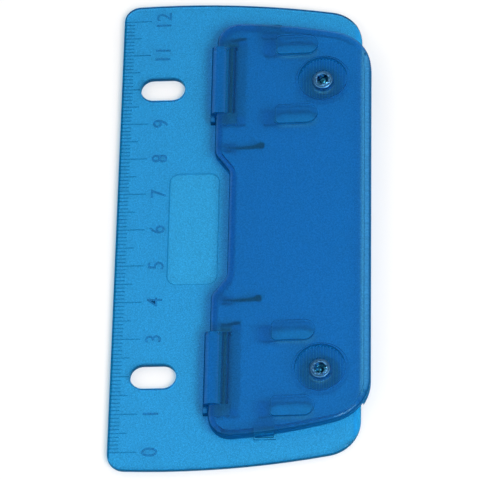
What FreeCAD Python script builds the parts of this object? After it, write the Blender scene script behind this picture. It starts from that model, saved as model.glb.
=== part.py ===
import FreeCAD, Part
import math
import os

from FreeCAD import Vector

# Pocket hole punch: a ruler plate that files in a ring binder, with a hinged lever that carries
# two punch pins. All sizes are millimetres. X runs along the ruler, towards the larger numbers.
# V is the distance across the plate from the ruler edge towards the lever's free edge, which lies
# at low Y. Z is up from the table. The origin is at the middle of the footprint, on the table.
# The lever, its pins and collars are drawn where the springs hold them, a little open.

# Base plate outline
BASE_T = 1.5
BASE_DEPTH = 60.4
BASE_HALF_LENGTH = 64.65
BASE_BOW_V = 13.9
BASE_BOW_R = 227.0
RULER_CORNER_R = 4.2
FREE_CORNER_R = 9.0
BASE_EDGE_R = 0.3
LEAD_IN_WIDTH = 1.9
LEAD_IN_DROP = 0.75

# Ruler scale, with its zero at the left
RULER_CM_COUNT = 12
MM_PER_CM = 10
TICK_MM_LENGTH = 2.7
TICK_HALF_CM_LENGTH = 4.5
TICK_CM_LENGTH = 7.0
TICK_WIDTH = 0.18
TICK_DEPTH = 0.12

# Standard filing holes: 80 mm apart. The same spacing sets the punched holes.
HOLE_SPACING = 80.0
SLOT_WIDTH = 6.4
SLOT_LENGTH = 11.15
SLOT_CENTRE_V = 10.4
SLOT_EDGE_CHAMFER = 0.15

# Name field: a shallow recess with sloping sides
FIELD_LENGTH = 30.5
FIELD_WIDTH = 12.0
FIELD_CENTRE_V = 19.1
FIELD_CORNER_R = 2.2
FIELD_DEPTH = 0.25

# Hinge: a knuckle of the lever turns on a pin between two lugs of the base
HINGE_V = 27.8
HINGE_Z = 2.45
HINGE_PIN_D = 1.8
HINGE_PIN_ROUND_R = 0.7
PIN_SEAT_LENGTH = 0.85
KNUCKLE_LENGTH = 19.2
KNUCKLE_OFFSET = 0.6
KNUCKLE_FRONT_V = 22.8
KNUCKLE_BACK_V = 27.05
KNUCKLE_BOTTOM_Z = 1.8
KNUCKLE_RISE = 0.35
KNUCKLE_ROUND_R = 1.5
BEARING_WALL = 0.4
TROUGH_ROOM = 0.2
LUG_WALL = 0.35
LUG_LOW_Z = 2.3
LUG_SLOPE_LENGTH = 1.0
LEFT_LUG_LENGTH = 2.65
RIGHT_LUG_LENGTH = 0.9
NIB_LENGTH = 1.75
NIB_WIDTH = 1.2
NIB_TOP_Z = 3.3
NIB_ROUND_R = 0.3

# Lever cover
LEVER_TOP_Z = 4.4
LEVER_SKIN = 1.2
LEVER_WALL = 1.6
LEVER_SKIRT_Z = 1.3
LEVER_HINGE_EDGE_V = 24.1
LEVER_OVERHANG = 2.4
LEVER_HALF_LENGTH = 57.35
LEVER_BOW_V = 23.1
LEVER_BOW_R = 135.0
LEVER_HINGE_CORNER_R = 5.5
LEVER_FREE_CORNER_R = 11.0
LEVER_EDGE_R = 1.0
LEVER_REST_RISE_DEG = 1.1
RECESS_EDGE_V = 27.9
RECESS_HALF_LENGTH = 14.6
RECESS_SLANT = 5.0
RECESS_CORNER_R = 3.5

# Punching
PUNCH_INSET = 9.6
PUNCH_D = 5.5
PUNCH_NECK_D = 4.0
PUNCH_BORE_D = 2.9
PUNCH_BORE_DEPTH = 0.8
PUNCH_POINT_D = 1.9
PUNCH_POINT_HEIGHT = 0.7
PUNCH_RIM_HEIGHT = 0.55
PUNCH_TIP_GROOVE = 0.35
PUNCH_EDGE_CHAMFER = 0.12
PAPER_GAP = 0.6
PAPER_MARGIN = 12.0
DIE_BITE = 0.45
TIP_RETRACT = 0.05
DIE_D = 9.0
DIE_T = 0.8
CHAD_HOLE_D = 6.6
COLLAR_D = 4.9
COLLAR_T = 0.4

# Ribbed thumb dishes round the pins
DISH_D = 12.2
DISH_DEPTH = 0.8
DISH_FLOOR = 0.9
DISH_WALL = 0.8
DISH_RIB_COUNT = 15
DISH_RIB_DEPTH = 0.22
DISH_GROOVE_WIDTH = 0.4

# Paper fingers on the base, and the raised pads of the lever that make room for them
FINGER_OFFSET = 10.0
FINGER_WIDTH = 4.0
FINGER_T = 0.65
FINGER_REACH = 10.2
FINGER_POST_DEPTH = 2.8
PAD_START_GAP = 0.3
PAD_LENGTH = 10.5
PAD_WIDTH = 5.3
PAD_RISE = 0.35
PAD_SKIN = 0.9
PAD_CORNER_R = 1.2
FINGER_CORNER_R = 0.6
PAD_POCKET_WALL = 0.35

# Rib of the base behind each hinge, with a gusset beside the right lug
RIB_WIDTH = 1.9
RIB_TOP_Z = 2.8
GUSSET_T = 0.8
GUSSET_GAP = 1.25
GUSSET_START_GAP = 0.6
GUSSET_START_HEIGHT = 0.3

# Catch hooks that stop the lever from opening further
HOOK_CENTRE_V = 37.6
HOOK_WIDTH = 4.6
HOOK_POST_T = 1.2
HOOK_POST_GAP = 0.6
HOOK_NOSE_T = 0.35
HOOK_TOP_Z = 2.7
HOOK_PROUD = 0.7
HOOK_SLOT_MARGIN = 0.35
HOOK_SLOT_FLOOR_Z = 0.75

# Return springs: leaves that widen from the root to a round foot under the lever
SPRING_X = 21.2
SPRING_WIDTH = 1.1
SPRING_ROOT_WIDTH = 0.6
SPRING_T = 0.25
SPRING_TIP_V = 35.6
SPRING_FOOT_D = 1.7
SPRING_FOOT_T = 0.6
SPRING_ROOT_Z = 1.85
SPRING_FLAT = 2.4
SPRING_ANCHOR_LENGTH = 2.3
SPRING_ANCHOR_WALL = 0.6
SPRING_ANCHOR_GAP = 0.4

# Clearances
RUNNING_FIT = 0.05
SEAT_FIT = 0.02
MOVING_GAP = 0.12
SIDE_GAP = 0.3
DIE_CLEARANCE = 0.1
END_GAP = 0.15
SAME_PLACE = 0.01

# Worked out from the sizes above
SIDES = {"left": -1, "right": 1}
LEVER_FREE_EDGE_V = BASE_DEPTH + LEVER_OVERHANG
EDGE_Y = LEVER_FREE_EDGE_V / 2
PUNCH_V = BASE_DEPTH - PUNCH_INSET
STROKE = PAPER_GAP + TIP_RETRACT + DIE_BITE
PRESS_DEG = math.degrees(math.asin(STROKE / (PUNCH_V - HINGE_V)))
PAPER_STOP_V = PUNCH_V - PAPER_MARGIN
PAD_START_V = PAPER_STOP_V + PAD_START_GAP
FINGER_Z = BASE_T + PAPER_GAP
KNUCKLE_TOP_Z = LEVER_TOP_Z + KNUCKLE_RISE
BEARING_HALF = HINGE_PIN_D / 2 + RUNNING_FIT + BEARING_WALL
LUG_START_V = LEVER_HINGE_EDGE_V + LEVER_WALL + SIDE_GAP
LUG_BACK_V = HINGE_V + BEARING_HALF
LUG_TOP_Z = HINGE_Z + HINGE_PIN_D / 2 + SEAT_FIT + LUG_WALL
RIB_START_V = LUG_BACK_V + SIDE_GAP
SKIN_Z = LEVER_TOP_Z - LEVER_SKIN
DISH_FLOOR_TOP_Z = LEVER_TOP_Z - DISH_DEPTH
SPRING_ROOT_V = LUG_START_V + SPRING_ANCHOR_GAP + SPRING_ANCHOR_WALL
TO_PRESSED_DEG = PRESS_DEG - LEVER_REST_RISE_DEG


def at(x, v, z):
    """The point at x along the ruler, v across from the ruler edge, z above the table."""
    return Vector(x, EDGE_Y - v, z)


def block(x0, x1, v0, v1, z0, z1):
    """A box between two corners."""
    return Part.makeBox(x1 - x0, v1 - v0, z1 - z0, at(x0, v1, z0))


def disc(x, v, z0, z1, diameter):
    """An upright round solid."""
    return Part.makeCylinder(diameter / 2, z1 - z0, at(x, v, z0))


def rod(x0, x1, v, z, diameter):
    """A round solid along X."""
    return Part.makeCylinder(diameter / 2, x1 - x0, at(x0, v, z), Vector(1, 0, 0))


def profile_along_x(points, x0, x1):
    """A solid with a cross-section of (v, z) points, between two places along X."""
    corners = [at(x0, v, z) for v, z in points]
    face = Part.Face(Part.makePolygon(corners + corners[:1]))
    return face.extrude(Vector(x1 - x0, 0, 0))


def upright_edges(solid, places):
    """The vertical edges of a solid at the given (x, v) places."""
    found = []
    for edge in solid.Edges:
        ends = [vertex.Point for vertex in edge.Vertexes]
        if len(ends) != 2 or abs(ends[0].z - ends[1].z) < SAME_PLACE:
            continue
        for x, v in places:
            if all(math.hypot(p.x - x, p.y - at(x, v, 0).y) < SAME_PLACE for p in ends):
                found.append(edge)
    return found


def level_edges(solid, z):
    """The edges of a solid that lie at one height."""
    return [e for e in solid.Edges if all(abs(p.z - z) < SAME_PLACE for p in e.discretize(3))]


def long_edges(edges, length):
    """Those of the edges that have one length."""
    return [e for e in edges if abs(e.Length - length) < SAME_PLACE]


def bow_x(half_length, bow_v, bow_r, v):
    """Half the length of a plate whose ends are bowed, at v."""
    return half_length - bow_r + math.sqrt(bow_r ** 2 - (v - bow_v) ** 2)


def bowed_end(half_length, bow_v, bow_r, v0, v1, side, z):
    """The bowed end of a plate as one arc, from v0 to v1."""
    places = [v0, (v0 + v1) / 2, v1]
    return Part.Arc(*[at(side * bow_x(half_length, bow_v, bow_r, v), v, z) for v in places]).toShape()


def line(x0, v0, x1, v1, z):
    """A level straight edge."""
    return Part.makeLine(at(x0, v0, z), at(x1, v1, z))


def stadium(x, v0, v1, width, z0, z1):
    """A slot-shaped solid with both ends round, along V."""
    radius = width / 2
    middle = block(x - radius, x + radius, v0 + radius, v1 - radius, z0, z1)
    ends = [disc(x, v0 + radius, z0, z1, width), disc(x, v1 - radius, z0, z1, width)]
    return middle.multiFuse(ends).removeSplitter()


def pad_shape(x, v0, v1, width, corner_r, z0, z1):
    """A solid that is fully round at its high-V end and has small corners at the other."""
    radius = width / 2
    body = block(x - radius, x + radius, v0, v1 - radius, z0, z1)
    body = body.makeFillet(corner_r, upright_edges(body, [(x - radius, v0), (x + radius, v0)]))
    return body.fuse(disc(x, v1 - radius, z0, z1, width)).removeSplitter()


def rounded_plate(length, width, corner_r, x, v, z0, z1):
    """A level rectangular solid with four round upright corners."""
    half_x = length / 2
    half_v = width / 2
    body = block(x - half_x, x + half_x, v - half_v, v + half_v, z0, z1)
    corners = [(x + i * half_x, v + j * half_v) for i in (-1, 1) for j in (-1, 1)]
    return body.makeFillet(corner_r, upright_edges(body, corners))


def turned(shape, degrees):
    """A copy of a shape, turned about the hinge. Positive presses the lever down."""
    copy = shape.copy()
    copy.rotate(at(0, HINGE_V, HINGE_Z), Vector(1, 0, 0), degrees)
    return copy


def pressed_to_rest(shape):
    """Takes what is drawn with the lever fully pressed to where the springs hold it."""
    return turned(shape, -PRESS_DEG)


def flat_to_rest(shape):
    """Takes what is drawn on a level lever to where the springs hold it."""
    return turned(shape, -LEVER_REST_RISE_DEG)


def knuckle_centre(side):
    """The middle of a hinge knuckle along X. Both knuckles lie a little to the right of a hole."""
    return side * HOLE_SPACING / 2 + KNUCKLE_OFFSET


def finger_places():
    """Where the paper fingers stand along X: one on each side of each punched hole."""
    return [side * HOLE_SPACING / 2 + j * FINGER_OFFSET for side in SIDES.values() for j in (-1, 1)]


def base_prism(grow, z0, z1):
    """The outline of the base plate as a solid, grown outwards by a margin."""
    half_length = BASE_HALF_LENGTH + grow
    v0 = -grow
    v1 = BASE_DEPTH + grow
    x0 = bow_x(half_length, BASE_BOW_V, BASE_BOW_R, v0)
    x1 = bow_x(half_length, BASE_BOW_V, BASE_BOW_R, v1)
    edges = [
        line(-x0, v0, x0, v0, z0),
        bowed_end(half_length, BASE_BOW_V, BASE_BOW_R, v0, v1, 1, z0),
        line(x1, v1, -x1, v1, z0),
        bowed_end(half_length, BASE_BOW_V, BASE_BOW_R, v0, v1, -1, z0),
    ]
    face = Part.Face(Part.Wire(Part.__sortEdges__(edges)))
    body = face.extrude(Vector(0, 0, z1 - z0))
    body = body.makeFillet(RULER_CORNER_R + grow, upright_edges(body, [(-x0, v0), (x0, v0)]))
    return body.makeFillet(FREE_CORNER_R + grow, upright_edges(body, [(-x1, v1), (x1, v1)]))


def lever_prism(inset, z0, z1):
    """The outline of the lever as a solid, drawn in from its outer faces by an inset."""
    half_length = LEVER_HALF_LENGTH - inset
    v0 = LEVER_HINGE_EDGE_V + inset
    v1 = LEVER_FREE_EDGE_V - inset
    v_mid = RECESS_EDGE_V + inset
    x0 = bow_x(half_length, LEVER_BOW_V, LEVER_BOW_R, v0)
    x1 = bow_x(half_length, LEVER_BOW_V, LEVER_BOW_R, v1)
    slant = math.atan2(RECESS_EDGE_V - LEVER_HINGE_EDGE_V, RECESS_SLANT)
    shift = inset * math.tan(slant / 2)
    x_in = RECESS_HALF_LENGTH + shift
    x_out = RECESS_HALF_LENGTH + RECESS_SLANT + shift
    edges = [
        line(x_out, v0, x0, v0, z0),
        bowed_end(half_length, LEVER_BOW_V, LEVER_BOW_R, v0, v1, 1, z0),
        line(x1, v1, -x1, v1, z0),
        bowed_end(half_length, LEVER_BOW_V, LEVER_BOW_R, v0, v1, -1, z0),
        line(-x0, v0, -x_out, v0, z0),
        line(-x_out, v0, -x_in, v_mid, z0),
        line(-x_in, v_mid, x_in, v_mid, z0),
        line(x_in, v_mid, x_out, v0, z0),
    ]
    face = Part.Face(Part.Wire(Part.__sortEdges__(edges)))
    body = face.extrude(Vector(0, 0, z1 - z0))
    body = body.makeFillet(LEVER_FREE_CORNER_R - inset, upright_edges(body, [(-x1, v1), (x1, v1)]))
    body = body.makeFillet(LEVER_HINGE_CORNER_R - inset, upright_edges(body, [(-x0, v0), (x0, v0)]))
    outer = upright_edges(body, [(-x_out, v0), (x_out, v0)])
    body = body.makeFillet(RECESS_CORNER_R - inset, outer)
    inner = upright_edges(body, [(-x_in, v_mid), (x_in, v_mid)])
    return body.makeFillet(RECESS_CORNER_R + inset, inner)


def ruler_ticks():
    """The grooves of the scale: one for each millimetre, longer at 5 mm and at 10 mm."""
    count = int(RULER_CM_COUNT * MM_PER_CM)
    top = BASE_T + TICK_DEPTH
    ticks = []
    for i in range(count + 1):
        length = TICK_MM_LENGTH
        if i % (MM_PER_CM // 2) == 0:
            length = TICK_HALF_CM_LENGTH
        if i % MM_PER_CM == 0:
            length = TICK_CM_LENGTH
        x = i - count / 2
        half = TICK_WIDTH / 2
        ticks.append(block(x - half, x + half, -TICK_DEPTH, length, BASE_T - TICK_DEPTH, top))
    return ticks


def filing_slots():
    """The two slots that go over the binder's rings or prongs, with a small chamfer on top."""
    cuts = []
    bevel = SLOT_EDGE_CHAMFER
    for side in SIDES.values():
        x = side * HOLE_SPACING / 2
        v0 = SLOT_CENTRE_V - SLOT_LENGTH / 2
        v1 = SLOT_CENTRE_V + SLOT_LENGTH / 2
        cuts.append(stadium(x, v0, v1, SLOT_WIDTH, -BASE_T, 2 * BASE_T))
        mouth = stadium(x, v0 - bevel, v1 + bevel, SLOT_WIDTH + 2 * bevel, BASE_T - bevel, 2 * BASE_T)
        cuts.append(mouth.makeChamfer(bevel, level_edges(mouth, BASE_T - bevel)))
    return cuts


def name_field():
    """The shallow recess of the name field, with sides at 45 degrees."""
    floor = BASE_T - FIELD_DEPTH
    recess = rounded_plate(FIELD_LENGTH + 2 * FIELD_DEPTH, FIELD_WIDTH + 2 * FIELD_DEPTH,
                           FIELD_CORNER_R + FIELD_DEPTH, 0, FIELD_CENTRE_V, floor, 2 * BASE_T)
    return recess.makeChamfer(FIELD_DEPTH, level_edges(recess, floor))


def lead_in():
    """The bevel along the free edge that guides the paper onto the plate."""
    points = [
        (BASE_DEPTH - LEAD_IN_WIDTH, BASE_T),
        (BASE_DEPTH - LEAD_IN_WIDTH, 2 * BASE_T),
        (BASE_DEPTH + LEAD_IN_WIDTH, 2 * BASE_T),
        (BASE_DEPTH + LEAD_IN_WIDTH, BASE_T - 2 * LEAD_IN_DROP),
    ]
    return profile_along_x(points, -BASE_HALF_LENGTH, BASE_HALF_LENGTH)


def die_seat(x):
    """The pocket for a die insert, with the hole below it that lets the paper discs out."""
    pocket = disc(x, PUNCH_V, BASE_T - DIE_T, 2 * BASE_T, DIE_D + 2 * SEAT_FIT)
    return pocket.fuse(disc(x, PUNCH_V, -BASE_T, BASE_T, CHAD_HOLE_D))


def hinge_lugs(centre):
    """The two lugs of the base that hold a hinge pin, one at each end of the knuckle."""
    profile = [
        (LUG_START_V, BASE_T / 2),
        (LUG_START_V, LUG_LOW_Z),
        (LUG_START_V + LUG_SLOPE_LENGTH, LUG_TOP_Z),
        (LUG_BACK_V, LUG_TOP_Z),
        (LUG_BACK_V, BASE_T / 2),
    ]
    x_in = KNUCKLE_LENGTH / 2 + END_GAP
    left = profile_along_x(profile, centre - x_in - LEFT_LUG_LENGTH, centre - x_in)
    right = profile_along_x(profile, centre + x_in, centre + x_in + RIGHT_LUG_LENGTH)
    return [left, right]


def hinge_rib(centre):
    """The rib behind a hinge, with a sloping gusset at its right end."""
    x_in = KNUCKLE_LENGTH / 2 + END_GAP
    left = centre - x_in - LEFT_LUG_LENGTH
    gusset_x = centre + x_in + RIGHT_LUG_LENGTH + GUSSET_GAP
    right = gusset_x + GUSSET_T
    start_v = LUG_START_V + GUSSET_START_GAP
    back_v = RIB_START_V + RIB_WIDTH
    rib = block(left, right, RIB_START_V, back_v, BASE_T / 2, RIB_TOP_Z)
    slope = [
        (start_v, BASE_T / 2),
        (start_v, BASE_T + GUSSET_START_HEIGHT),
        (back_v, RIB_TOP_Z),
        (back_v, BASE_T / 2),
    ]
    return [rib, profile_along_x(slope, gusset_x, right)]


def side_nib(centre):
    """The nib at the left end of a knuckle that keeps the lever from sliding along its pins."""
    x1 = centre - KNUCKLE_LENGTH / 2 - END_GAP
    v1 = LEVER_HINGE_EDGE_V - END_GAP
    nib = block(x1 - NIB_LENGTH, x1, v1 - NIB_WIDTH, v1, BASE_T / 2, NIB_TOP_Z)
    return nib.makeFillet(NIB_ROUND_R, level_edges(nib, NIB_TOP_Z))


def hinge_trough(centre):
    """The trough in the plate that makes room for the lower side of a knuckle."""
    x_in = KNUCKLE_LENGTH / 2 + END_GAP
    half = BEARING_HALF + SIDE_GAP
    floor = HINGE_Z - BEARING_HALF - TROUGH_ROOM
    return block(centre - x_in, centre + x_in, HINGE_V - half, HINGE_V + half, floor, 2 * BASE_T)


def paper_finger(x):
    """A finger that holds the paper down beside a punched hole. Its post is the paper stop."""
    half = FINGER_WIDTH / 2
    root_v = PAPER_STOP_V - FINGER_POST_DEPTH
    tip_v = PAPER_STOP_V + FINGER_REACH
    top = FINGER_Z + FINGER_T
    post = block(x - half, x + half, root_v, PAPER_STOP_V, BASE_T / 2, FINGER_Z)
    return post.fuse(pad_shape(x, root_v, tip_v, FINGER_WIDTH, FINGER_CORNER_R, FINGER_Z, top))


def finger_window(x):
    """The opening in the plate below a paper finger, up to the finger's underside."""
    end_v = PAPER_STOP_V + FINGER_REACH + SIDE_GAP
    return stadium(x, PAPER_STOP_V, end_v, FINGER_WIDTH + SIDE_GAP, -BASE_T, FINGER_Z)


def hook_inner_x():
    """Where the inner face of the lever's end wall passes a catch hook."""
    return bow_x(LEVER_HALF_LENGTH, LEVER_BOW_V, LEVER_BOW_R, HOOK_CENTRE_V) - LEVER_WALL


def catch_hook(side):
    """A hook at one end of the base whose nose goes out through the lever's end wall."""
    v0 = HOOK_CENTRE_V - HOOK_WIDTH / 2
    v1 = HOOK_CENTRE_V + HOOK_WIDTH / 2
    x_post = hook_inner_x() - HOOK_POST_GAP
    x_nose = hook_inner_x() + LEVER_WALL + HOOK_PROUD
    inner, outer = sorted((side * (x_post - HOOK_POST_T), side * x_post))
    post = block(inner, outer, v0, v1, BASE_T / 2, HOOK_TOP_Z)
    inner, outer = sorted((side * (x_post - HOOK_POST_T), side * x_nose))
    nose = block(inner, outer, v0, v1, HOOK_TOP_Z - HOOK_NOSE_T, HOOK_TOP_Z)
    tips = upright_edges(nose, [(side * x_nose, v0), (side * x_nose, v1)])
    return post.fuse(nose.makeFillet(HOOK_NOSE_T, tips))


def rim_zone(side, margin, z0, z1):
    """The space at a catch hook where the lower rim of the lever's end wall moves."""
    v0 = HOOK_CENTRE_V - HOOK_WIDTH / 2 - margin
    v1 = HOOK_CENTRE_V + HOOK_WIDTH / 2 + margin
    inner = hook_inner_x() - SIDE_GAP
    outer = hook_inner_x() + LEVER_WALL + SIDE_GAP + HOOK_SLOT_MARGIN
    x0, x1 = sorted((side * inner, side * outer))
    return block(x0, x1, v0, v1, z0, z1)


def spring_x(side):
    """The middle of a return spring along X. The springs share the hinges' offset."""
    return side * SPRING_X + KNUCKLE_OFFSET


def spring_anchor(side):
    """The block of the base that a return spring is pushed into."""
    x = spring_x(side)
    half_slit = SPRING_ROOT_WIDTH / 2 + SEAT_FIT
    half = half_slit + SPRING_ANCHOR_WALL
    v1 = SPRING_ROOT_V + SPRING_ANCHOR_LENGTH
    slit_z = SPRING_ROOT_Z - SEAT_FIT
    slit_top = SPRING_ROOT_Z + SPRING_T + SEAT_FIT
    body = block(x - half, x + half, SPRING_ROOT_V - SPRING_ANCHOR_WALL, v1, BASE_T / 2,
                 slit_top + SPRING_ANCHOR_WALL)
    return body.cut(block(x - half_slit, x + half_slit, SPRING_ROOT_V, v1, slit_z, slit_top))


def make_base_plate():
    """The moulded plate with its ruler, slots, name field and everything that grows from it."""
    plate = base_prism(0, 0, BASE_T)
    plate = plate.makeFillet(BASE_EDGE_R, level_edges(plate, BASE_T) + level_edges(plate, 0))
    raised = []
    for side in SIDES.values():
        raised += hinge_lugs(knuckle_centre(side))
        raised += hinge_rib(knuckle_centre(side))
        raised.append(side_nib(knuckle_centre(side)))
        raised.append(catch_hook(side))
        raised.append(spring_anchor(side))
    raised += [paper_finger(x) for x in finger_places()]
    plate = plate.multiFuse(raised).removeSplitter()
    cuts = [name_field(), lead_in()] + filing_slots() + ruler_ticks()
    for side in SIDES.values():
        reach = KNUCKLE_LENGTH / 2 + END_GAP
        x0 = knuckle_centre(side) - reach - LEFT_LUG_LENGTH - SIDE_GAP
        x1 = knuckle_centre(side) + reach + RIGHT_LUG_LENGTH + SIDE_GAP
        cuts.append(rod(x0, x1, HINGE_V, HINGE_Z, HINGE_PIN_D + 2 * SEAT_FIT))
        cuts.append(hinge_trough(knuckle_centre(side)))
        cuts.append(die_seat(side * HOLE_SPACING / 2))
        cuts.append(rim_zone(side, HOOK_SLOT_MARGIN, HOOK_SLOT_FLOOR_Z, BASE_T))
    cuts += [finger_window(x) for x in finger_places()]
    return plate.cut(cuts)


def knuckle(centre):
    """A hinge knuckle of the lever: a roll along its edge and the bearing that hangs round the pin."""
    x0 = centre - KNUCKLE_LENGTH / 2
    x1 = centre + KNUCKLE_LENGTH / 2
    roll = block(x0, x1, KNUCKLE_FRONT_V, KNUCKLE_BACK_V, KNUCKLE_BOTTOM_Z, KNUCKLE_TOP_Z)
    roll = roll.makeFillet(KNUCKLE_ROUND_R, long_edges(level_edges(roll, KNUCKLE_TOP_Z), KNUCKLE_LENGTH))
    bearing = block(x0, x1, HINGE_V - BEARING_HALF, HINGE_V + BEARING_HALF,
                    HINGE_Z - BEARING_HALF, LEVER_TOP_Z - LEVER_SKIN / 2)
    return roll.fuse(bearing)


def lug_room(centre):
    """The room in the lever above the two lugs of a hinge."""
    v0 = LUG_START_V - SIDE_GAP
    v1 = LUG_BACK_V + SIDE_GAP
    top = LUG_TOP_Z + END_GAP
    x_in = KNUCKLE_LENGTH / 2
    x_left = x_in + END_GAP + LEFT_LUG_LENGTH + SIDE_GAP
    x_right = x_in + END_GAP + RIGHT_LUG_LENGTH + SIDE_GAP
    return [block(centre - x_left, centre - x_in, v0, v1, 0, top),
            block(centre + x_in, centre + x_right, v0, v1, 0, top)]


def dish_grooves(x):
    """The grooves that leave ribs on a dish's floor. The ribs run along X."""
    pitch = DISH_D / DISH_RIB_COUNT
    floor = disc(x, PUNCH_V, DISH_FLOOR_TOP_Z - DISH_RIB_DEPTH, DISH_FLOOR_TOP_Z + DISH_RIB_DEPTH,
                 DISH_D - DISH_GROOVE_WIDTH)
    grooves = []
    for i in range(DISH_RIB_COUNT - 1):
        v = PUNCH_V + (i + 1 - DISH_RIB_COUNT / 2) * pitch
        half = DISH_GROOVE_WIDTH / 2
        grooves.append(block(x - DISH_D, x + DISH_D, v - half, v + half, 0, 2 * LEVER_TOP_Z))
    return floor.common(Part.makeCompound(grooves))


def lever_shell():
    """The lever's hollow body drawn level: skin, walls, pads, dishes and knuckles."""
    body = lever_prism(0, LEVER_SKIRT_Z, LEVER_TOP_Z)
    body = body.makeFillet(LEVER_EDGE_R, level_edges(body, LEVER_TOP_Z))
    inside = lever_prism(LEVER_WALL, LEVER_SKIRT_Z - BASE_T, SKIN_Z)
    body = body.cut(inside)
    added = []
    cuts = []
    for side in SIDES.values():
        x = side * HOLE_SPACING / 2
        added.append(disc(x, PUNCH_V, DISH_FLOOR_TOP_Z - DISH_FLOOR, LEVER_TOP_Z,
                          DISH_D + 2 * DISH_WALL))
        cuts.append(disc(x, PUNCH_V, DISH_FLOOR_TOP_Z, 2 * LEVER_TOP_Z, DISH_D))
        cuts += dish_grooves(x).Solids
        cuts += lug_room(knuckle_centre(side))
    for x in finger_places():
        pad_end = PAD_START_V + PAD_LENGTH
        pad = pad_shape(x, PAD_START_V, pad_end, PAD_WIDTH, PAD_CORNER_R, SKIN_Z, LEVER_TOP_Z + PAD_RISE)
        added.append(pad)
        wall = PAD_POCKET_WALL
        cuts.append(pad_shape(x, PAD_START_V - wall, pad_end - wall, PAD_WIDTH - 2 * wall,
                              PAD_CORNER_R - wall, 0, LEVER_TOP_Z + PAD_RISE - PAD_SKIN))
    knuckles = [knuckle(knuckle_centre(side)) for side in SIDES.values()]
    return body.multiFuse(added).cut(cuts).multiFuse(knuckles).removeSplitter()


def make_lever_cover():
    """The lever cover where the springs hold it, cut clear of the base over its whole travel."""
    cover = flat_to_rest(lever_shell())
    cuts = []
    over_base = base_prism(2 * SIDE_GAP, -BASE_T, BASE_T + MOVING_GAP)
    drop = (HOOK_CENTRE_V + HOOK_WIDTH - HINGE_V) * math.sin(math.radians(PRESS_DEG))
    for side in SIDES.values():
        over_base = over_base.cut(rim_zone(side, 0, -2 * BASE_T, 2 * BASE_T))
        centre = knuckle_centre(side)
        over_base = over_base.cut(hinge_trough(centre))
        x0 = centre - KNUCKLE_LENGTH / 2 - SIDE_GAP
        x1 = centre + KNUCKLE_LENGTH / 2 + SIDE_GAP
        cuts.append(rod(x0, x1, HINGE_V, HINGE_Z, HINGE_PIN_D + 2 * RUNNING_FIT))
        cuts.append(rim_zone(side, SIDE_GAP / 2, HOOK_TOP_Z - HOOK_NOSE_T - MOVING_GAP / 2,
                             HOOK_TOP_Z + drop + MOVING_GAP / 2))
        neck = disc(side * HOLE_SPACING / 2, PUNCH_V, 0, 2 * LEVER_TOP_Z, PUNCH_NECK_D + 2 * SEAT_FIT)
        cuts.append(pressed_to_rest(neck))
        cuts.append(pressed_to_rest(pin_head_room(side)))
    cuts += [over_base, pressed_to_rest(over_base)]
    return cover.cut(cuts)


def height_turned(v, z, degrees):
    """The height of a point of the level lever once the lever is turned."""
    return turned(Part.Vertex(at(0, v, z)), degrees).Point.z


def shoulder_seat_z():
    """The height of the seat above a pin's shoulder, with the lever fully pressed."""
    return height_turned(PUNCH_V - PUNCH_D / 2, DISH_FLOOR_TOP_Z - DISH_FLOOR, TO_PRESSED_DEG)


def collar_seat_z():
    """The height of the seat below a pin's collar, with the lever fully pressed."""
    return height_turned(PUNCH_V, DISH_FLOOR_TOP_Z, TO_PRESSED_DEG) - DISH_RIB_DEPTH


def pin_head_room(side):
    """Flat seats for a pin's shoulder and collar, square to the pin."""
    x = side * HOLE_SPACING / 2
    below = disc(x, PUNCH_V, 0, shoulder_seat_z(), PUNCH_D + 2 * SIDE_GAP)
    above = disc(x, PUNCH_V, collar_seat_z(), 2 * LEVER_TOP_Z, COLLAR_D + 2 * SIDE_GAP)
    return below.fuse(above)


def make_punch_pin(side):
    """A punch pin: a cutting body, a neck through the lever and a bored rim on top."""
    x = side * HOLE_SPACING / 2
    tip = BASE_T - DIE_BITE
    shoulder = shoulder_seat_z() - SEAT_FIT
    rim = collar_seat_z() + PUNCH_RIM_HEIGHT
    body = disc(x, PUNCH_V, tip, shoulder, PUNCH_D)
    groove_r = (PUNCH_D ** 2 / 4 + PUNCH_TIP_GROOVE ** 2) / (2 * PUNCH_TIP_GROOVE)
    groove_z = tip + PUNCH_TIP_GROOVE - groove_r
    body = body.cut(rod(x - PUNCH_D, x + PUNCH_D, PUNCH_V, groove_z, 2 * groove_r))
    neck = disc(x, PUNCH_V, shoulder, rim, PUNCH_NECK_D)
    neck = neck.makeChamfer(PUNCH_EDGE_CHAMFER, level_edges(neck, rim))
    floor = rim - PUNCH_BORE_DEPTH
    bore = disc(x, PUNCH_V, floor, rim + PUNCH_BORE_DEPTH, PUNCH_BORE_D)
    point = Part.makeCone(PUNCH_POINT_D / 2, 0, PUNCH_POINT_HEIGHT, at(x, PUNCH_V, floor))
    return pressed_to_rest(body.fuse(neck).cut(bore).fuse(point).removeSplitter())


def make_pin_collar(side):
    """The ring pressed on a pin's neck that holds it in the lever."""
    x = side * HOLE_SPACING / 2
    seat = collar_seat_z() + SEAT_FIT
    ring = disc(x, PUNCH_V, seat, seat + COLLAR_T, COLLAR_D)
    ring = ring.makeChamfer(PUNCH_EDGE_CHAMFER, level_edges(ring, seat + COLLAR_T))
    ring = ring.cut(disc(x, PUNCH_V, 0, 2 * LEVER_TOP_Z, PUNCH_NECK_D + 2 * SEAT_FIT))
    return pressed_to_rest(ring)


def make_die_insert(side):
    """The steel die that a pin cuts into, flush with the top of the plate."""
    x = side * HOLE_SPACING / 2
    ring = disc(x, PUNCH_V, BASE_T - DIE_T, BASE_T, DIE_D)
    return ring.cut(disc(x, PUNCH_V, 0, 2 * BASE_T, PUNCH_D + 2 * DIE_CLEARANCE))


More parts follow.
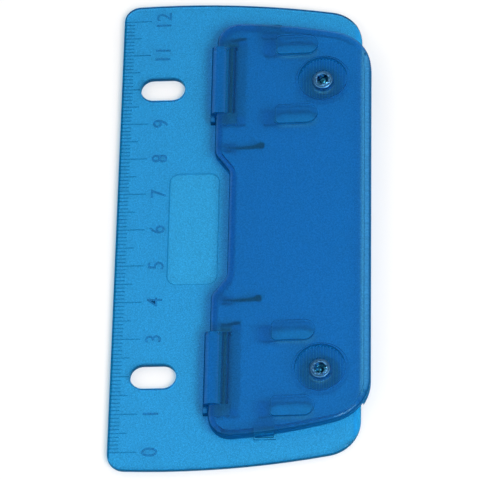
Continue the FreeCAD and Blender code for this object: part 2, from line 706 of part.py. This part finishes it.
def make_hinge_pin(side):
    """A plain steel pin along X with round ends, which sits in the two lugs."""
    half = KNUCKLE_LENGTH / 2 + END_GAP + PIN_SEAT_LENGTH
    centre = knuckle_centre(side)
    pin = rod(centre - half, centre + half, HINGE_V, HINGE_Z, HINGE_PIN_D)
    return pin.makeFillet(HINGE_PIN_ROUND_R, [e for e in pin.Edges if e.isClosed()])


def make_return_spring(side):
    """A leaf spring: a flat root in its anchor, then a rise to a round foot under the lever."""
    x = spring_x(side)
    x0 = x - SPRING_WIDTH / 2
    bend_v = SPRING_ROOT_V + SPRING_FLAT
    mid_z = SPRING_ROOT_Z + SPRING_T / 2
    near_v = SPRING_TIP_V - SPRING_FOOT_D / 2
    foot_top = height_turned(near_v, SKIN_Z, -LEVER_REST_RISE_DEG) - SEAT_FIT
    tip_z = foot_top - SPRING_FOOT_T / 2
    run = SPRING_TIP_V - bend_v
    lean = 2 * math.atan2(tip_z - mid_z, run)
    bend_r = run / math.sin(lean)

    def bent(part, radius):
        """A point on the bend, from 0 at the root to 1 at the tip."""
        angle = part * lean
        return at(x0, bend_v + radius * math.sin(angle), mid_z + bend_r - radius * math.cos(angle))

    under = bend_r + SPRING_T / 2
    over = bend_r - SPRING_T / 2
    root_low = at(x0, SPRING_ROOT_V, SPRING_ROOT_Z)
    root_high = at(x0, SPRING_ROOT_V, SPRING_ROOT_Z + SPRING_T)
    outline = Part.Wire([
        Part.makeLine(root_low, bent(0, under)),
        Part.Arc(bent(0, under), bent(0.5, under), bent(1, under)).toShape(),
        Part.makeLine(bent(1, under), bent(1, over)),
        Part.Arc(bent(1, over), bent(0.5, over), bent(0, over)).toShape(),
        Part.makeLine(bent(0, over), root_high),
        Part.makeLine(root_high, root_low),
    ])
    leaf = Part.Face(outline).extrude(Vector(SPRING_WIDTH, 0, 0))
    root_half = SPRING_ROOT_WIDTH / 2
    tip_half = SPRING_WIDTH / 2
    corners = [
        at(x - root_half, SPRING_ROOT_V, 0),
        at(x + root_half, SPRING_ROOT_V, 0),
        at(x + root_half, bend_v, 0),
        at(x + tip_half, SPRING_TIP_V + SPRING_T, 0),
        at(x - tip_half, SPRING_TIP_V + SPRING_T, 0),
        at(x - root_half, bend_v, 0),
    ]
    taper = Part.Face(Part.makePolygon(corners + corners[:1])).extrude(Vector(0, 0, LEVER_TOP_Z))
    foot = disc(x, SPRING_TIP_V, foot_top - SPRING_FOOT_T, foot_top, SPRING_FOOT_D)
    return leaf.common(taper).fuse(foot).removeSplitter()


def make_nodes():
    """Every piece of the punch under its name."""
    nodes = {"base_plate": make_base_plate(), "lever_cover": make_lever_cover()}
    for name, side in SIDES.items():
        nodes["punch_pin_" + name] = make_punch_pin(side)
        nodes["pin_collar_" + name] = make_pin_collar(side)
        nodes["die_insert_" + name] = make_die_insert(side)
        nodes["hinge_pin_" + name] = make_hinge_pin(side)
        nodes["return_spring_" + name] = make_return_spring(side)
    return nodes


os.makedirs("parts", exist_ok=True)
for name, shape in make_nodes().items():
    solid = shape.Solids[0]
    solid.exportStep("parts/" + name + ".step")
    box = solid.optimalBoundingBox(False)
    print("%-20s solids %d valid %s  x %.2f..%.2f  y %.2f..%.2f  z %.2f..%.2f  volume %.1f"
          % (name, len(shape.Solids), solid.isValid(), box.XMin, box.XMax, box.YMin, box.YMax,
             box.ZMin, box.ZMax, solid.Volume))
print("full press, degrees", round(PRESS_DEG, 3))
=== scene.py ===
import math

import bpy
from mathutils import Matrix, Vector


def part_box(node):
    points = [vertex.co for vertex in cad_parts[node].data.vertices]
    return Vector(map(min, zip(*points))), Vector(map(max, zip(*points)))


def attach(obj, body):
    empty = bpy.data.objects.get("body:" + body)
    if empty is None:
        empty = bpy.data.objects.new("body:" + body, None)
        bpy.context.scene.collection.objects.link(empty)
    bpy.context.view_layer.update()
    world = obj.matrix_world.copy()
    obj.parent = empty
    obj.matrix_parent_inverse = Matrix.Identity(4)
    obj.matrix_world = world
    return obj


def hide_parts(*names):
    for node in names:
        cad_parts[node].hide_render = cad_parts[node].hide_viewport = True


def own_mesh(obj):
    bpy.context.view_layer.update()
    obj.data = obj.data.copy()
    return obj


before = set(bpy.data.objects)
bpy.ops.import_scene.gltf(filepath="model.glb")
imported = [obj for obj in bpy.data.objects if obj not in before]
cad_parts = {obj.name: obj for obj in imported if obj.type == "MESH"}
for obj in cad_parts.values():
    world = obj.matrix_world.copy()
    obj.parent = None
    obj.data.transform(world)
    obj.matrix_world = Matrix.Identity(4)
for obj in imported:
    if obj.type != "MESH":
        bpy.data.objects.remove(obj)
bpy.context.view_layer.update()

MM = 0.001
MM_PER_CM = 10.0
SIDES = ("left", "right")


def middle(node):
    """The middle of a CAD node's box, in metres."""
    low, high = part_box(node)
    return (low + high) / 2


def centres(stem):
    """The x and y of the middles of a left and a right CAD node, to a hundredth of a millimetre."""
    return tuple(tuple(round(v / MM, 2) for v in middle(stem + side)[:2]) for side in SIDES)


def boxes_at(places, low, high):
    """A box at each place, from two corners whose x and y are counted from it."""
    return tuple(((x + low[0], y + low[1], low[2]), (x + high[0], y + high[1], high[2]))
                 for x, y in places)


# All lengths and places below are in millimetres.
# Camera: fitted to the scale's ticks, the slots and the outlines in the photograph.
CAMERA_PLACE = (-398.4, -70.9, 737.0)
CAMERA_TARGET = (-2.67, 0.87, 0.0)
CAMERA_ROLL_DEG = -1.29
CAMERA_LENS = 257.0
CAMERA_CLIP_START = 10.0
SENSOR_WIDTH = 36.0

# Places in the part, from the frame, and the angle at which the lever rests. The dies lie level with the
# top of the plate.
HINGES = centres("hinge_pin_")
HINGE_Y = HINGES[0][1]
PUNCHES = centres("die_insert_")
PAD_OFFSET = 10.0
PADS = tuple((x + offset, y) for x, y in PUNCHES for offset in (-PAD_OFFSET, PAD_OFFSET))
PLATE_TOP_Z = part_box("die_insert_left")[1].z / MM
RULER_EDGE_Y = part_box("base_plate")[1].y / MM
FREE_EDGE_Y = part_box("base_plate")[0].y / MM
LEVER_OPEN_DEG = 1.1
LEVER_SLOPE = math.tan(math.radians(LEVER_OPEN_DEG))

# The scale's digits. The slots take the places of 2 and 10. DIGIT_FOOT is counted from the ruler's edge,
# and FONT_CAP_SHARE is the height of a digit in Blender's own font at size 1.
DIGITS = (0, 1, 3, 4, 5, 6, 7, 8, 9, 11, 12)
SCALE_MIDDLE_CM = 6
DIGIT_HEIGHT = 3.75
DIGIT_WIDTH_SHARE = 0.94
DIGIT_FOOT = 12.0
DIGIT_DEPTH = 0.06
DIGIT_BOLD = 0.01
DIGIT_CURVE_STEPS = 6
FONT_CAP_SHARE = 0.69

# Boxes that stand out in the plastics, as two corners. Those of the lever are where they would be if it
# lay level.
LUG_BOXES = boxes_at(HINGES, (9.7, -1.5, 1.6), (10.7, 1.9, 4.0))
GUSSET_BOXES = boxes_at(HINGES, (11.8, -3.7, 1.6), (12.8, 1.4, 4.0))
NIB_BOXES = boxes_at(HINGES, (-11.7, 3.6, 1.6), (-9.5, 5.6, 4.0))
# Painted shade: a darker band on the base in the trough behind each knuckle.
TROUGH_SHADE_BOXES = boxes_at(HINGES, (-10.3, -3.6, 1.4), (10.3, -1.6, 3.0))
RULER_EDGE_BOXES = boxes_at([(0.0, RULER_EDGE_Y)], (-63.5, -0.45, -1.0), (63.5, 0.6, 3.0))
LEAD_IN_BOXES = boxes_at([(0.0, FREE_EDGE_Y)], (-70.0, -1.0, -1.0), (70.0, 1.85, 1.6))
KNUCKLE_BOXES = boxes_at(HINGES, (-9.6, 0.7, 3.9), (9.6, 5.4, 5.4))
PAD_BOXES = boxes_at(PADS, (-2.35, 1.5, 3.75), (2.35, 11.4, 3.95))
GROOVE_BOXES = boxes_at(PUNCHES, (-6.2, -6.2, 3.35), (6.2, 6.2, 3.45))

# Plastics. "pass" is what one face lets through, and "wall_pass" and "line_pass" the same on steep faces
# and along edges, darker there as painted shade for the light that walls and edges bend away.
# "inner_line_pass" takes the place of "line_pass" inside the lever. "take" is how fast each colour fades,
# per millimetre of depth. "body" and "wall_body" are the colours of the haze on level and on steep faces,
# the deep wall one painted shade too, and "haze" its share on level ones. "rough" is the roughness, and
# "rough_inside" that inside the lever. "patches" are boxes with another pass, and "lightened_boxes" boxes
# with more haze, which makes them lighter as painted light.
BASE_LOOK = {
    "pass": (0.60, 0.935, 0.99),
    "wall_pass": (0.15, 0.62, 0.74),
    "line_pass": (0.05, 0.48, 0.62),
    "inner_line_pass": None,
    "take": (0.6, 0.215, 0.066),
    "body": (0.02, 0.30, 0.68),
    "wall_body": (0.004, 0.13, 0.32),
    "haze": 0.04,
    "rough": 0.08,
    "rough_inside": None,
    # Painted shade: nearly black on the lugs and gussets, darker as outlines along the free edge's lead-in
    # and the ruler's edge, and darker in the trough behind each knuckle.
    "patches": (((0.03, 0.08, 0.12), LUG_BOXES + GUSSET_BOXES),
                ((0.37, 0.84, 0.95), LEAD_IN_BOXES),
                ((0.12, 0.60, 0.68), RULER_EDGE_BOXES),
                ((0.50, 0.80, 0.72), TROUGH_SHADE_BOXES)),
    # More haze on the nibs, which makes them lighter: a painted highlight.
    "lightened_boxes": NIB_BOXES,
}
LEVER_LOOK = {
    "pass": (0.60, 0.95, 0.995),
    "wall_pass": (0.18, 0.60, 0.72),
    "line_pass": (0.03, 0.26, 0.36),
    "inner_line_pass": (0.35, 0.72, 0.82),
    "take": (0.35, 0.165, 0.035),
    "body": (0.01, 0.30, 0.75),
    "wall_body": (0.004, 0.11, 0.31),
    "haze": 0.08,
    "rough": 0.06,
    "rough_inside": 0.5,
    # Darker in the dishes' grooves, as painted shade, and darker on the pads' ceilings.
    "patches": (((0.45, 0.76, 0.90), GROOVE_BOXES),
                ((0.42, 0.78, 0.90), PAD_BOXES)),
    # More haze on the knuckles, which makes them lighter: painted light.
    "lightened_boxes": KNUCKLE_BOXES,
}
DIGIT_LOOK = {
    **BASE_LOOK,
    "pass": (0.74, 0.89, 0.95),
    "line_pass": (0.26, 0.60, 0.74),
    "wall_body": (0.003, 0.06, 0.20),
    "patches": (),
    "lightened_boxes": (),
}

# For all the plastics. TAKE_ROOM keeps the volume's colours above black. GRAIN is the fine mottle of what
# passes, and CLOUD the broad one of the haze. WALL_HAZE is the haze's share on steep faces, part of their
# painted shade, and LIGHTENING_HAZE the most haze in some boxes, which lightens them as painted light.
PLASTIC_IOR = 1.45
TAKE_ROOM = 1.1
WALL_HAZE = 0.35
LIGHTENING_HAZE = 0.25
HAZE_ROUGHNESS = 0.4
HAZE_BUMP = 0.2
HAZE_BUMP_DEPTH = 0.02
GRAIN_SIZE = 0.35
GRAIN_LOW = 0.35
GRAIN_HIGH = 0.65
GRAIN_SHADE = 0.85
CLOUD_SIZE = 14.0
CLOUD_SHADE = 0.85

# Masks, each from its start, where it is 0, to its end, where it is 1. STEEP and UNDER are measured by how
# far a face looks up, RIM by how far that is from RIM_SLOPE, EDGE_MATCH by how far the face's normal
# agrees with a blunted one, and LEVER_SKIN by the height on a level lever. BOX_SOFT is a box's border.
STEEP_START = 0.6
STEEP_END = 0.985
RIM_SLOPE = 0.5
RIM_START = 0.08
RIM_END = 0.2
UNDER_START = -0.5
UNDER_END = -0.3
EDGE_LINE_R = 0.17
EDGE_MATCH_START = 0.8
EDGE_MATCH_END = 0.985
LEVER_SKIN_START = 3.3
LEVER_SKIN_END = 3.4
BOX_SOFT = 0.05

# Steels. "marks" is the size of the marks, and "roughness" runs between two values with them.
# The pins' rims are blue as a painted reflection of the blue plastic round them, and their bores dark as
# painted shade.
PIN_RIM = (0.10, 0.33, 0.66)
PIN_BORE = (0.02, 0.15, 0.25)
PIN_BORE_R = 1.38
PIN_RIM_R = 1.48
PIN_WORN_SHADE = 0.6
PIN_MARKS = 0.15
PIN_ROUGHNESS = (0.12, 0.25)
PIN_DENT_SIZE = 1.1
PIN_DENT_DEPTH = 0.9
# The die's steel is blue as a painted reflection of the plastic round it.
DIE_STEEL = {
    "bright": (0.34, 0.54, 0.74),
    "dark": (0.22, 0.38, 0.54),
    "roughness": (0.27, 0.43),
    "marks": 0.2,
}
# Nearly black: painted shade of the hinge pins and leaf springs, which lie in shade under the lever.
SHADED_STEEL = {
    "bright": (0.06, 0.07, 0.04),
    "dark": (0.03, 0.035, 0.02),
    "roughness": (0.27, 0.43),
    "marks": 0.2,
}
# The collar's steel is blue as a painted reflection, like the pins' rims.
COLLAR_STEEL = {
    "bright": PIN_RIM,
    "dark": (0.08, 0.28, 0.50),
    "roughness": (0.22, 0.38),
    "marks": PIN_MARKS,
}
MARKS_DETAIL = 4.0
MARKS_LOW = 0.3
MARKS_HIGH = 0.7
MARKS_BUMP = 0.2
MARKS_BUMP_DEPTH = 0.01

# Floor. FLOOR_GLOW is the share of plain white that the eye sees and the part doesn't.
FLOOR_SIZE = 3000.0
FLOOR_DROP = 0.05
FLOOR_MOTTLE = 60.0
FLOOR_WHITES = ((0.97, 0.97, 0.97), (0.99, 0.99, 0.99))
FLOOR_GLOW = 0.1

# Light. The surround's strength from the horizon up, by the height of a direction of length 1, and the
# lamp.
WALL_LIGHT = 1.1
CEILING_LIGHT = 0.23
CEILING_START = 0.6
CEILING_END = 0.8
ZENITH_LIGHT = 0.14
ZENITH_START = 0.86
ZENITH_END = 0.93
LAMP_PLACE = (-420.0, -400.0, 630.0)
LAMP_SIZE = 500.0
LAMP_WATTS = 4.6


def new_material(name):
    """An empty node material with its output."""
    material = bpy.data.materials.new(name)
    material.use_nodes = True
    tree = material.node_tree
    tree.nodes.clear()
    return material, tree, tree.nodes.new("ShaderNodeOutputMaterial")


def shade(colour, share):
    """A darker colour."""
    return tuple(share * c for c in colour)


def remap(tree, value, low, high, to_low=0.0, to_high=1.0):
    """The value taken from one range to another."""
    node = tree.nodes.new("ShaderNodeMapRange")
    for name, number in (("From Min", low), ("From Max", high), ("To Min", to_low), ("To Max", to_high)):
        node.inputs[name].default_value = number
    tree.links.new(value, node.inputs["Value"])
    return node.outputs["Result"]


def math_node(tree, operation, first, second=0.0):
    """The result of a sum on one or two values, each a number or a socket."""
    node = tree.nodes.new("ShaderNodeMath")
    node.operation = operation
    for socket, value in zip(node.inputs, (first, second)):
        if isinstance(value, float):
            socket.default_value = value
        else:
            tree.links.new(value, socket)
    return node.outputs["Value"]


def mix_colour(tree, factor, first, second):
    """A mix of two colours, each a plain one or a socket."""
    node = tree.nodes.new("ShaderNodeMix")
    node.data_type = "RGBA"
    tree.links.new(factor, node.inputs["Factor"])
    for socket, colour in ((node.inputs["A"], first), (node.inputs["B"], second)):
        if isinstance(colour, tuple):
            socket.default_value = colour + (1.0,)
        else:
            tree.links.new(colour, socket)
    return node.outputs["Result"]


def mix_shaders(tree, factor, first, second):
    """A mix of two shaders."""
    node = tree.nodes.new("ShaderNodeMixShader")
    for socket, source in zip(node.inputs, (factor, first, second)):
        tree.links.new(source, socket)
    return node.outputs["Shader"]


def noise(tree, size, detail=2.0):
    """Noise in the part's own space, whose grains are about that size."""
    place = tree.nodes.new("ShaderNodeTexCoord")
    grain = tree.nodes.new("ShaderNodeTexNoise")
    grain.inputs["Scale"].default_value = 1.0 / (size * MM)
    grain.inputs["Detail"].default_value = detail
    tree.links.new(place.outputs["Object"], grain.inputs["Vector"])
    return grain.outputs["Fac"]


def bump(tree, height, strength, depth):
    """A normal bent by a height."""
    node = tree.nodes.new("ShaderNodeBump")
    node.inputs["Strength"].default_value = strength
    node.inputs["Distance"].default_value = depth * MM
    tree.links.new(height, node.inputs["Height"])
    return node.outputs["Normal"]


def split(tree, vector):
    """The x, y and z of a vector."""
    node = tree.nodes.new("ShaderNodeSeparateXYZ")
    tree.links.new(vector, node.inputs["Vector"])
    return tuple(node.outputs)


def place_in(tree, space):
    """The x, y and z of a place in one of the texture spaces."""
    return split(tree, tree.nodes.new("ShaderNodeTexCoord").outputs[space])


def facing_up(tree):
    """How far the surface's outer side faces up, from 1 down to -1 where it faces down."""
    geometry = tree.nodes.new("ShaderNodeNewGeometry")
    _, _, up = split(tree, geometry.outputs["Normal"])
    sign = remap(tree, geometry.outputs["Backfacing"], 0.0, 1.0, 1.0, -1.0)
    return math_node(tree, "MULTIPLY", up, sign)


def level(tree):
    """1 where the surface is level and 0 where it is steep."""
    return remap(tree, math_node(tree, "ABSOLUTE", facing_up(tree)), STEEP_START, STEEP_END)


def away_from_rim(tree):
    """0 on the band of a rounded edge that stands at the rim's slope, and 1 elsewhere."""
    off = math_node(tree, "SUBTRACT", facing_up(tree), RIM_SLOPE)
    return remap(tree, math_node(tree, "ABSOLUTE", off), RIM_START, RIM_END)


def away_from_edges(tree):
    """1 on open faces and 0 along sharp edges."""
    geometry = tree.nodes.new("ShaderNodeNewGeometry")
    blunt = tree.nodes.new("ShaderNodeBevel")
    blunt.inputs["Radius"].default_value = EDGE_LINE_R * MM
    match = tree.nodes.new("ShaderNodeVectorMath")
    match.operation = "DOT_PRODUCT"
    tree.links.new(geometry.outputs["Normal"], match.inputs[0])
    tree.links.new(blunt.outputs["Normal"], match.inputs[1])
    return remap(tree, match.outputs["Value"], EDGE_MATCH_START, EDGE_MATCH_END)


def level_place(tree, slope):
    """The place in the part's own space, and its height as if what slopes from the hinge lay level."""
    x, y, z = place_in(tree, "Object")
    if slope:
        away = math_node(tree, "SUBTRACT", y, HINGE_Y * MM)
        z = math_node(tree, "ADD", z, math_node(tree, "MULTIPLY", away, slope))
    return x, y, z


def inside_box(tree, place, low, high):
    """1 inside a box, and 0 outside it past a soft border."""
    value = None
    for socket, start, end in zip(place, low, high):
        rise = remap(tree, socket, (start - BOX_SOFT) * MM, start * MM)
        fall = remap(tree, socket, end * MM, (end + BOX_SOFT) * MM, 1.0, 0.0)
        both = math_node(tree, "MULTIPLY", rise, fall)
        value = both if value is None else math_node(tree, "MULTIPLY", value, both)
    return value


def inside_boxes(tree, place, boxes):
    """1 inside any of some boxes."""
    value = inside_box(tree, place, *boxes[0])
    for box in boxes[1:]:
        value = math_node(tree, "MAXIMUM", value, inside_box(tree, place, *box))
    return value


def outer_face(tree, place):
    """1 on the lever's outer faces, and 0 on its inner walls and ceilings."""
    above = remap(tree, place[2], LEVER_SKIN_START * MM, LEVER_SKIN_END * MM)
    return math_node(tree, "MULTIPLY", above, remap(tree, facing_up(tree), UNDER_START, UNDER_END))


def face_pass(tree, look, place, grain, flat):
    """What a face lets through: darker on steep faces and along edges as painted shade, and other passes
    in patches.
    """
    grained = remap(tree, grain, GRAIN_LOW, GRAIN_HIGH)
    tint = mix_colour(tree, grained, shade(look["pass"], GRAIN_SHADE), look["pass"])
    tint = mix_colour(tree, flat, look["wall_pass"], tint)
    line = look["line_pass"]
    if look["inner_line_pass"]:
        line = mix_colour(tree, outer_face(tree, place), look["inner_line_pass"], line)
    open_face = math_node(tree, "MULTIPLY", away_from_rim(tree), away_from_edges(tree))
    tint = mix_colour(tree, open_face, line, tint)
    for patch_pass, boxes in look["patches"]:
        tint = mix_colour(tree, inside_boxes(tree, place, boxes), tint, patch_pass)
    return tint


def clear_share(tree, look, place, tint):
    """The clear share of a plastic: glass to the eye, and tinted film that lets the lamp through."""
    glass = tree.nodes.new("ShaderNodeBsdfGlass")
    glass.inputs["IOR"].default_value = PLASTIC_IOR
    tree.links.new(tint, glass.inputs["Color"])
    if look["rough_inside"]:
        rough = remap(tree, outer_face(tree, place), 0.0, 1.0, look["rough_inside"], look["rough"])
        tree.links.new(rough, glass.inputs["Roughness"])
    else:
        glass.inputs["Roughness"].default_value = look["rough"]
    film = tree.nodes.new("ShaderNodeBsdfTransparent")
    tree.links.new(tint, film.inputs["Color"])
    path = tree.nodes.new("ShaderNodeLightPath")
    return mix_shaders(tree, path.outputs["Is Shadow Ray"], glass.outputs["BSDF"], film.outputs["BSDF"])


def hazy_share(tree, look, grain, flat):
    """The hazy share: a solid of the plastic's colour, faintly clouded, deeper on steep faces as painted
    shade.
    """
    solid = tree.nodes.new("ShaderNodeBsdfPrincipled")
    solid.inputs["Roughness"].default_value = HAZE_ROUGHNESS
    solid.inputs["IOR"].default_value = PLASTIC_IOR
    solid.inputs["Specular IOR Level"].default_value = 0.0
    cloud = noise(tree, CLOUD_SIZE, detail=1.0)
    clouded = mix_colour(tree, cloud, shade(look["body"], CLOUD_SHADE), look["body"])
    tree.links.new(mix_colour(tree, flat, look["wall_body"], clouded), solid.inputs["Base Color"])
    tree.links.new(bump(tree, grain, HAZE_BUMP, HAZE_BUMP_DEPTH), solid.inputs["Normal"])
    return solid.outputs["BSDF"]


def haze_cover(tree, look, place, flat):
    """How much of a plastic is haze: more on steep faces, as painted shade, and in some boxes, as painted
    light.
    """
    cover = remap(tree, flat, 0.0, 1.0, WALL_HAZE, look["haze"])
    if look["lightened_boxes"]:
        lightened = inside_boxes(tree, place, look["lightened_boxes"])
        cover = math_node(tree, "MAXIMUM", cover, remap(tree, lightened, 0.0, 1.0, 0.0, LIGHTENING_HAZE))
    return cover


def depth_colour(tree, take):
    """A volume in which each colour fades at its own rate."""
    inside = tree.nodes.new("ShaderNodeVolumeAbsorption")
    most = max(take) * TAKE_ROOM
    inside.inputs["Color"].default_value = tuple(1.0 - t / most for t in take) + (1.0,)
    inside.inputs["Density"].default_value = most / MM
    return inside.outputs["Volume"]


def clear_plastic(name, look, slope=0.0):
    """Translucent plastic: clear, with a haze of the same colour, and deeper in colour by its depth."""
    material, tree, output = new_material(name)
    place = level_place(tree, slope)
    grain = noise(tree, GRAIN_SIZE)
    flat = level(tree)
    tint = face_pass(tree, look, place, grain, flat)
    clear = clear_share(tree, look, place, tint)
    hazy = hazy_share(tree, look, grain, flat)
    surface = mix_shaders(tree, haze_cover(tree, look, place, flat), clear, hazy)
    tree.links.new(surface, output.inputs["Surface"])
    tree.links.new(depth_colour(tree, look["take"]), output.inputs["Volume"])
    return material


def bare_metal(tree, colour, roughness, normal):
    """A metal surface, from its three sockets."""
    metal = tree.nodes.new("ShaderNodeBsdfPrincipled")
    metal.inputs["Metallic"].default_value = 1.0
    for name, source in (("Base Color", colour), ("Roughness", roughness), ("Normal", normal)):
        tree.links.new(source, metal.inputs[name])
    return metal.outputs["BSDF"]


def steel(name, look):
    """Bare steel with fine marks from turning or drawing."""
    material, tree, output = new_material(name)
    marks = noise(tree, look["marks"], MARKS_DETAIL)
    colour = mix_colour(tree, marks, look["dark"], look["bright"])
    roughness = remap(tree, marks, MARKS_LOW, MARKS_HIGH, *look["roughness"])
    surface = bare_metal(tree, colour, roughness, bump(tree, marks, MARKS_BUMP, MARKS_BUMP_DEPTH))
    tree.links.new(surface, output.inputs["Surface"])
    return material


def from_pin_axis(tree, side):
    """How far a point is from a punch pin's middle, seen from above."""
    x, y, _ = place_in(tree, "Object")
    flat = tree.nodes.new("ShaderNodeCombineXYZ")
    tree.links.new(x, flat.inputs["X"])
    tree.links.new(y, flat.inputs["Y"])
    reach = tree.nodes.new("ShaderNodeVectorMath")
    reach.operation = "DISTANCE"
    centre = middle("punch_pin_" + side)
    reach.inputs[1].default_value = (centre.x, centre.y, 0.0)
    tree.links.new(flat.outputs["Vector"], reach.inputs[0])
    return reach.outputs["Value"]


def pin_steel(side):
    """Dented steel, blue on the rim round a pin's axis as a painted reflection, and dark in the bore as
    painted shade.
    """
    material, tree, output = new_material("punch_steel_" + side)
    outside = remap(tree, from_pin_axis(tree, side), PIN_BORE_R * MM, PIN_RIM_R * MM)
    marks = noise(tree, PIN_MARKS, MARKS_DETAIL)
    worn_blue_reflection = mix_colour(tree, marks, shade(PIN_RIM, PIN_WORN_SHADE), PIN_RIM)
    colour = mix_colour(tree, outside, PIN_BORE, worn_blue_reflection)
    roughness = remap(tree, marks, MARKS_LOW, MARKS_HIGH, *PIN_ROUGHNESS)
    dents = noise(tree, PIN_DENT_SIZE, detail=1.0)
    surface = bare_metal(tree, colour, roughness, bump(tree, dents, strength=1.0, depth=PIN_DENT_DEPTH))
    tree.links.new(surface, output.inputs["Surface"])
    return material


def paint(mesh, material):
    """Gives a mesh one material, in place of any that it has."""
    mesh.materials.clear()
    mesh.materials.append(material)


def dress(node, material):
    """Gives a carried-over node its material."""
    paint(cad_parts[node].data, material)


def new_object(name, data):
    """A new object in the scene."""
    new = bpy.data.objects.new(name, data)
    bpy.context.scene.collection.objects.link(new)
    return new


def add_spring(side, material):
    """The CAD leaf spring as a piece of its own, carried by the base."""
    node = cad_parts["return_spring_" + side]
    spring = new_object("leaf_spring_" + side, node.data.copy())
    spring.matrix_world = node.matrix_world
    paint(spring.data, material)
    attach(spring, "base")
    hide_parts("return_spring_" + side)
    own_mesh(spring)


def digit_mesh(number):
    """A number of the scale as a thin solid, centred over the origin with its foot on it."""
    curve = bpy.data.curves.new("digits_%d" % number, "FONT")
    curve.body = str(number)
    curve.align_x = "CENTER"
    curve.size = DIGIT_HEIGHT / FONT_CAP_SHARE * MM
    curve.extrude = DIGIT_DEPTH / 2 * MM
    curve.offset = DIGIT_BOLD * MM
    curve.resolution_u = DIGIT_CURVE_STEPS
    text = new_object("digits_%d_curve" % number, curve)
    bpy.context.view_layer.update()
    mesh = bpy.data.meshes.new_from_object(text.evaluated_get(bpy.context.evaluated_depsgraph_get()))
    bpy.data.objects.remove(text)
    return mesh


def add_digits(material):
    """The scale's numbers, standing a hair proud of the plate."""
    for number in DIGITS:
        digit = new_object("digits_%d" % number, digit_mesh(number))
        digit.scale.x = DIGIT_WIDTH_SHARE
        along = (number - SCALE_MIDDLE_CM) * MM_PER_CM
        digit.location = Vector((along, RULER_EDGE_Y - DIGIT_FOOT, PLATE_TOP_Z)) * MM
        paint(digit.data, material)
        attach(digit, "base")


def seen_directly(tree):
    """1 for what the camera sees, also in metal and through plastic, and 0 for what lights the part."""
    path = tree.nodes.new("ShaderNodeLightPath")
    value = path.outputs["Is Camera Ray"]
    for name in ("Is Glossy Ray", "Is Transmission Ray"):
        value = math_node(tree, "MAXIMUM", value, path.outputs[name])
    return value


def floor_paint():
    """White paint, a little whiter to the eye than it lights the part."""
    material, tree, output = new_material("floor_white")
    matt = tree.nodes.new("ShaderNodeBsdfDiffuse")
    tree.links.new(mix_colour(tree, noise(tree, FLOOR_MOTTLE), *FLOOR_WHITES), matt.inputs["Color"])
    white = tree.nodes.new("ShaderNodeEmission")
    share = remap(tree, seen_directly(tree), 0.0, 1.0, 0.0, FLOOR_GLOW)
    surface = mix_shaders(tree, share, matt.outputs["BSDF"], white.outputs["Emission"])
    tree.links.new(surface, output.inputs["Surface"])
    return material


def add_floor():
    """A plain white floor."""
    bpy.ops.mesh.primitive_plane_add(size=FLOOR_SIZE * MM, location=(0.0, 0.0, -FLOOR_DROP * MM))
    floor = bpy.context.object
    floor.name = "floor"
    floor.data.materials.append(floor_paint())


def add_surround():
    """A white studio: bright walls, and a darker ceiling that is a little lighter overhead."""
    world = bpy.data.worlds.new("studio")
    bpy.context.scene.world = world
    world.use_nodes = True
    tree = world.node_tree
    tree.nodes.clear()
    output = tree.nodes.new("ShaderNodeOutputWorld")
    _, _, height = place_in(tree, "Generated")
    ceiling = remap(tree, height, CEILING_START, CEILING_END, WALL_LIGHT, CEILING_LIGHT)
    zenith = remap(tree, height, ZENITH_START, ZENITH_END, 0.0, ZENITH_LIGHT)
    fill = tree.nodes.new("ShaderNodeBackground")
    fill.inputs["Color"].default_value = (1.0, 1.0, 1.0, 1.0)
    tree.links.new(math_node(tree, "ADD", ceiling, zenith), fill.inputs["Strength"])
    tree.links.new(fill.outputs["Background"], output.inputs["Surface"])


def add_lamp():
    """One large soft lamp, aimed at the part."""
    lamp = bpy.data.lights.new("key", "AREA")
    lamp.shape = "DISK"
    lamp.size = LAMP_SIZE * MM
    lamp.energy = LAMP_WATTS
    key = new_object("key", lamp)
    key.location = Vector(LAMP_PLACE) * MM
    key.rotation_euler = (-key.location).to_track_quat("-Z", "Y").to_euler()


def add_camera():
    """The camera at the photograph's place, with the ruler's length upright in the picture."""
    camera = bpy.data.cameras.new("camera")
    camera.sensor_width = SENSOR_WIDTH
    camera.lens = CAMERA_LENS
    camera.clip_start = CAMERA_CLIP_START * MM
    holder = new_object("camera", camera)
    place = Vector(CAMERA_PLACE) * MM
    forward = (Vector(CAMERA_TARGET) * MM - place).normalized()
    along = Vector((1.0, 0.0, 0.0))
    up = (along - along.dot(forward) * forward).normalized()
    side = forward.cross(up)
    roll = math.radians(CAMERA_ROLL_DEG)
    top = up * math.cos(roll) + side * math.sin(roll)
    matrix = holder.matrix_world.to_3x3()
    matrix.col[0] = forward.cross(top)
    matrix.col[1] = top
    matrix.col[2] = -forward
    holder.matrix_world = matrix.to_4x4()
    holder.location = place
    bpy.context.scene.camera = holder


def main():
    """Dresses the part, and sets the stage."""
    dress("base_plate", clear_plastic("base_blue", BASE_LOOK))
    dress("lever_cover", clear_plastic("lever_blue", LEVER_LOOK, LEVER_SLOPE))
    die = steel("die_steel", DIE_STEEL)
    dark = steel("spring_steel_shaded", SHADED_STEEL)
    collar = steel("collar_steel", COLLAR_STEEL)
    for side in SIDES:
        dress("punch_pin_" + side, pin_steel(side))
        dress("pin_collar_" + side, collar)
        dress("die_insert_" + side, die)
        dress("hinge_pin_" + side, dark)
        dress("return_spring_" + side, dark)
        add_spring(side, dark)
    add_digits(clear_plastic("digit_blue", DIGIT_LOOK))
    add_floor()
    add_surround()
    add_lamp()
    add_camera()
    bpy.context.scene.view_settings.view_transform = "Standard"


main()
